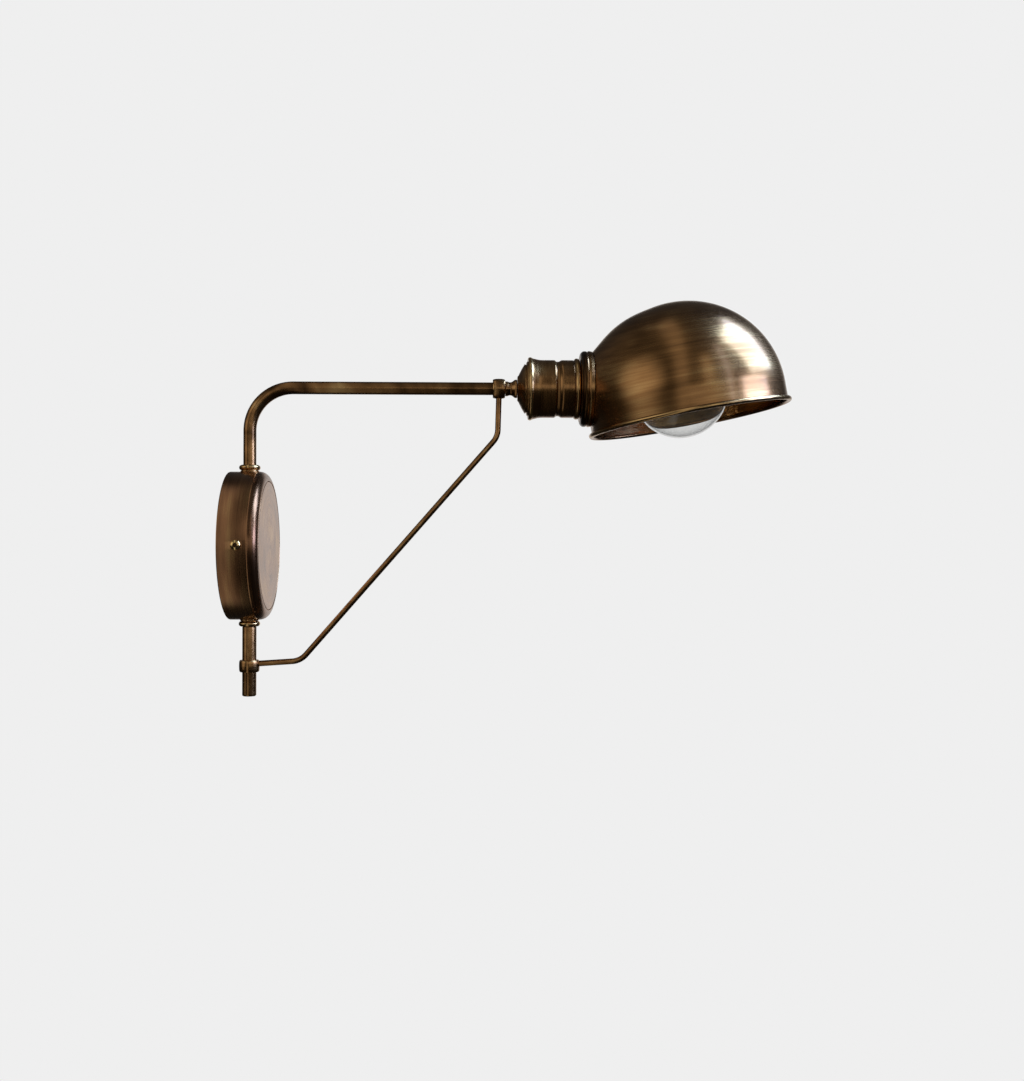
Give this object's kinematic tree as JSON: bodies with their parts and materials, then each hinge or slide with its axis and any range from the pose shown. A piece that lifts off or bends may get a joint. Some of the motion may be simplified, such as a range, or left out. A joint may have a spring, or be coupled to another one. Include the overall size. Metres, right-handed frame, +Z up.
{
  "type": "swing arm wall sconce",
  "caption": "Aged brass wall light: a round canopy carries a swinging bent arm with a thin strut and a turning dome shade over a globe bulb.",
  "frame": {"origin": "on the wall plane at the middle of the round canopy, on the back face of the wall bracket", "axes": "+X points straight away from the wall along the arm at rest, +Z up along the swing axis, +Y to the side"},
  "size_m": [0.4568, 0.1676, 0.3225],
  "materials": {
    "aged_brass": "dark aged brass, circumferential brushing, clear lacquer",
    "rubbed_brass": "aged brass rubbed lighter on turned edges, satin",
    "bright_brass": "plain brass, semi-gloss",
    "zinc_steel": "zinc plated steel, satin",
    "nickel_plate": "nickel plated brass, semi-gloss",
    "black_phenolic": "moulded phenolic, satin",
    "white_nylon": "moulded nylon, matte",
    "black_cable": "smooth cable sheath",
    "clear_glass": "clear blown glass, gloss",
    "filament_wire": "drawn wire"
  },
  "bodies": {
    "canopy": {"wall_bracket": "zinc_steel", "canopy_shell": "aged_brass", "canopy_face_plate": "aged_brass", "canopy_screw_near": "bright_brass", "canopy_screw_far": "bright_brass", "pivot_sleeve": "rubbed_brass", "sleeve_nut_top": "rubbed_brass", "sleeve_nut_bottom": "rubbed_brass", "sleeve_cap_top": "rubbed_brass", "sleeve_cap_bottom": "rubbed_brass", "lower_post": "aged_brass", "thrust_washer": "white_nylon", "swing_friction_screw": "zinc_steel", "post_grub_screw": "zinc_steel", "terminal_block": "white_nylon", "terminal_screw_1": "bright_brass", "terminal_screw_2": "bright_brass", "terminal_screw_3": "bright_brass", "earth_screw": "zinc_steel", "canopy_lead": "black_cable"},
    "arm": {"arm_tube": "aged_brass", "arm_cable": "black_cable", "strut_lower_ring": "rubbed_brass", "strut_upper_collar": "rubbed_brass", "collar_grub_screw": "zinc_steel", "strut_rod": "aged_brass", "head_nipple": "zinc_steel", "swivel_neck": "rubbed_brass", "friction_washer": "zinc_steel", "nipple_nut": "rubbed_brass"},
    "head": {"socket_cap": "aged_brass", "socket_cup": "aged_brass", "socket_skirt": "aged_brass", "gallery_ring": "rubbed_brass", "lampholder_body": "black_phenolic", "lampholder_screw_shell": "nickel_plate", "lampholder_contact": "bright_brass", "lampholder_lead": "black_cable", "shade_ring_nut": "rubbed_brass", "shade": "aged_brass", "bulb_cap": "nickel_plate", "bulb_insulator": "black_phenolic", "bulb_contact": "nickel_plate", "bulb_glass": "clear_glass", "bulb_stem": "clear_glass", "bulb_wire_left": "filament_wire", "bulb_wire_right": "filament_wire", "bulb_filament": "filament_wire"}
  },
  "joints": [
    {"name": "arm_swing", "type": "hinge", "parent": "canopy", "child": "arm", "pos_m": [0.015, 0, 0], "axis": [0, 0, 1], "range_deg": [-75, 75]},
    {"name": "head_turn", "type": "hinge", "parent": "arm", "child": "head", "pos_m": [0.2327, 0, 0.1286], "axis": [1, 0, 0], "range_deg": [-90, 90]}
  ]
}
